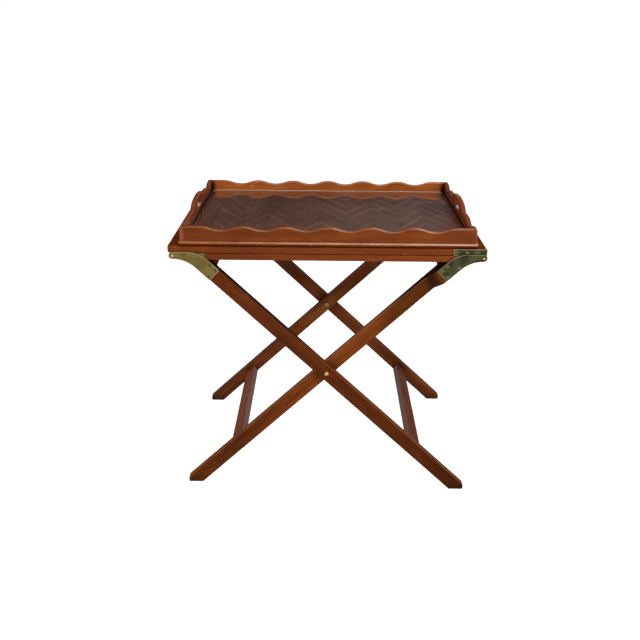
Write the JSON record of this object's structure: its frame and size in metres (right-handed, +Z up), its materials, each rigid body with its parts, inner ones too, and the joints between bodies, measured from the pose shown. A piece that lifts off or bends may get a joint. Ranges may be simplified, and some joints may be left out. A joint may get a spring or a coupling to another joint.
{
  "type": "folding tray table",
  "caption": "Wooden tray table with crossed folding legs, a sliding two-layer top, and a lift-off galleried tray with handle slots and a glass-covered herringbone floor.",
  "frame": {"origin": "on the floor, under the middle of the table", "axes": "+X along the table towards the heads of the inner legs, +Y from front to back, +Z up"},
  "size_m": [0.6653, 0.5036, 0.6247],
  "materials": {
    "tray_wood": "satin varnish",
    "top_wood": "satin varnish",
    "leg_wood": "satin varnish",
    "herringbone": "polished veneer",
    "glass": "clear, polished edge",
    "brass": "aged",
    "steel": "plain",
    "felt": "felt"
  },
  "bodies": {
    "centre_pivots": {"centre_bolt_front": "brass", "centre_bolt_back": "brass", "pivot_washers": "steel", "pivot_nuts": "steel"},
    "outer_legs": {"outer_leg_front": "leg_wood", "outer_leg_back": "leg_wood", "outer_stretcher": "leg_wood", "outer_top_rail": "leg_wood", "outer_leg_plate_front": "brass", "outer_leg_plate_back": "brass", "outer_leg_plate_screws": "brass", "outer_corner_pins": "brass"},
    "inner_legs": {"inner_leg_front": "leg_wood", "inner_leg_back": "leg_wood", "inner_stretcher": "leg_wood", "inner_top_rail": "leg_wood", "spacer_block_front": "leg_wood", "spacer_block_back": "leg_wood", "inner_leg_plate_front": "brass", "inner_leg_plate_back": "brass", "inner_leg_plate_screws": "brass", "inner_corner_pins": "brass"},
    "lower_frame": {"lower_front_rail": "top_wood", "lower_back_rail": "top_wood", "lower_left_rail": "top_wood", "lower_right_rail": "top_wood", "lower_hinge_plate_front": "brass", "lower_hinge_plate_back": "brass", "lower_plate_screws": "brass"},
    "upper_board": {"upper_board_panel": "top_wood", "stop_batten": "top_wood", "upper_hinge_plate_front": "brass", "upper_hinge_plate_back": "brass", "upper_plate_screws": "brass"},
    "tray": {"tray_base_board": "tray_wood", "tray_front_rail": "tray_wood", "tray_back_rail": "tray_wood", "tray_left_handle_rail": "tray_wood", "tray_right_handle_rail": "tray_wood", "herringbone_panel": "herringbone", "tray_felt_pads": "felt", "gallery_screws": "steel"},
    "glass": {"glass_panel": "glass"}
  },
  "joints": [
    {"name": "leg_fold", "type": "hinge", "parent": "centre_pivots", "child": "outer_legs", "pos_m": [0, 0, 0.2853], "axis": [0, 1, 0], "range_deg": [0, 42]},
    {"name": "inner_leg_fold", "type": "hinge", "parent": "centre_pivots", "child": "inner_legs", "pos_m": [0, 0, 0.2853], "axis": [0, 1, 0], "range_deg": [-42, 0]},
    {"name": "lower_frame_hinge", "type": "hinge", "parent": "outer_legs", "child": "lower_frame", "pos_m": [-0.3233, 0, 0.5496], "axis": [0, 1, 0], "range_deg": [-42, 0]},
    {"name": "upper_board_hinge", "type": "hinge", "parent": "inner_legs", "child": "upper_board", "pos_m": [0.3233, 0, 0.5496], "axis": [0, 1, 0], "range_deg": [0, 42]},
    {"name": "tray_lift", "type": "slide", "parent": "upper_board", "child": "tray", "axis": [0, 0, 1], "range_m": [0, 0.25]},
    {"name": "glass_lift", "type": "slide", "parent": "tray", "child": "glass", "axis": [0, 0, 1], "range_m": [0, 0.08]}
  ],
  "couplings": [
    {"joint": "inner_leg_fold", "follows": "leg_fold", "ratio": -1},
    {"joint": "lower_frame_hinge", "follows": "leg_fold", "ratio": -1},
    {"joint": "upper_board_hinge", "follows": "leg_fold", "ratio": 1}
  ]
}
